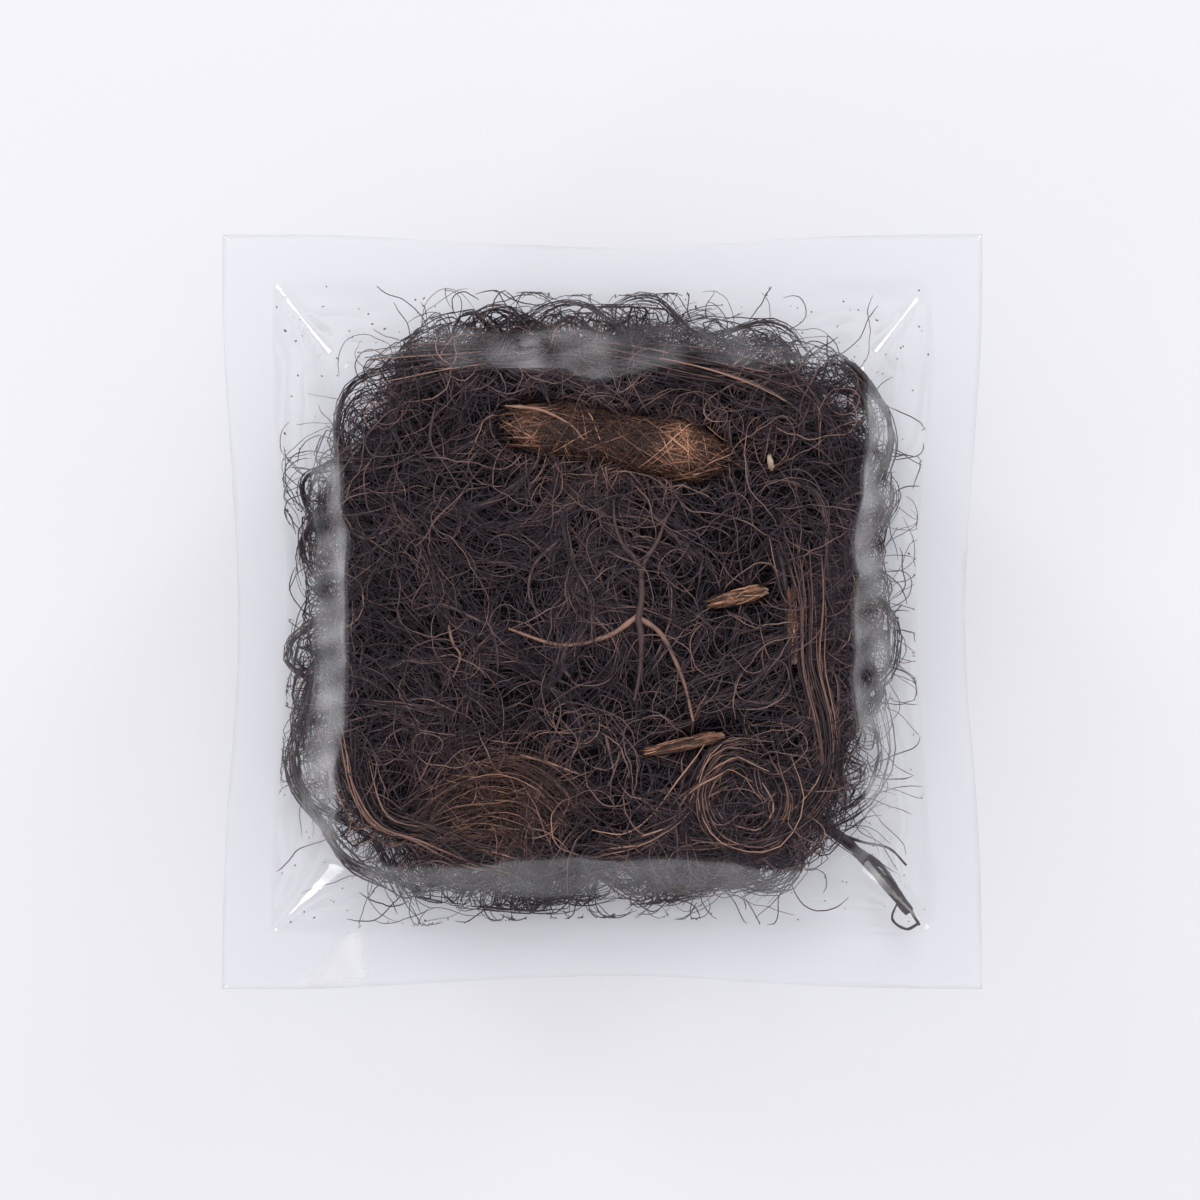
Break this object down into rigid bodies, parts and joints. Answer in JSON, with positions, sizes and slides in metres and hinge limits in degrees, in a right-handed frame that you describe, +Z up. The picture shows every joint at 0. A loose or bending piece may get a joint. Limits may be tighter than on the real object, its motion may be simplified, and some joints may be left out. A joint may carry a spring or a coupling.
{
  "type": "spikenard root in a clear pouch",
  "caption": "Dried spikenard root packed in a clear heat-sealed pouch: a dense tangle of dark fibrous roots with a tufted rhizome and woody stubs.",
  "frame": {"origin": "on the surface under the middle of the pouch, which lies on its back", "axes": "+Z up through the front film, +Y to the pouch's top edge, +X to the right of the front"},
  "size_m": [0.15, 0.1491, 0.0319],
  "materials": {
    "film": "clear glossy film",
    "root": "dry, fibrous",
    "sheath": "dry, fibrous",
    "thick_root": "dry, wrinkled",
    "stem_wood": "dry, split"
  },
  "bodies": {
    "root": {"pouch_back_film": "film", "root_tangle": "root", "tufted_rhizome": "sheath", "forked_root": "thick_root", "corner_root": "thick_root", "wood_stub_upper": "stem_wood", "wood_stub_lower": "stem_wood", "wood_stub_side": "stem_wood", "pouch_front_film": "film"}
  },
  "joints": []
}
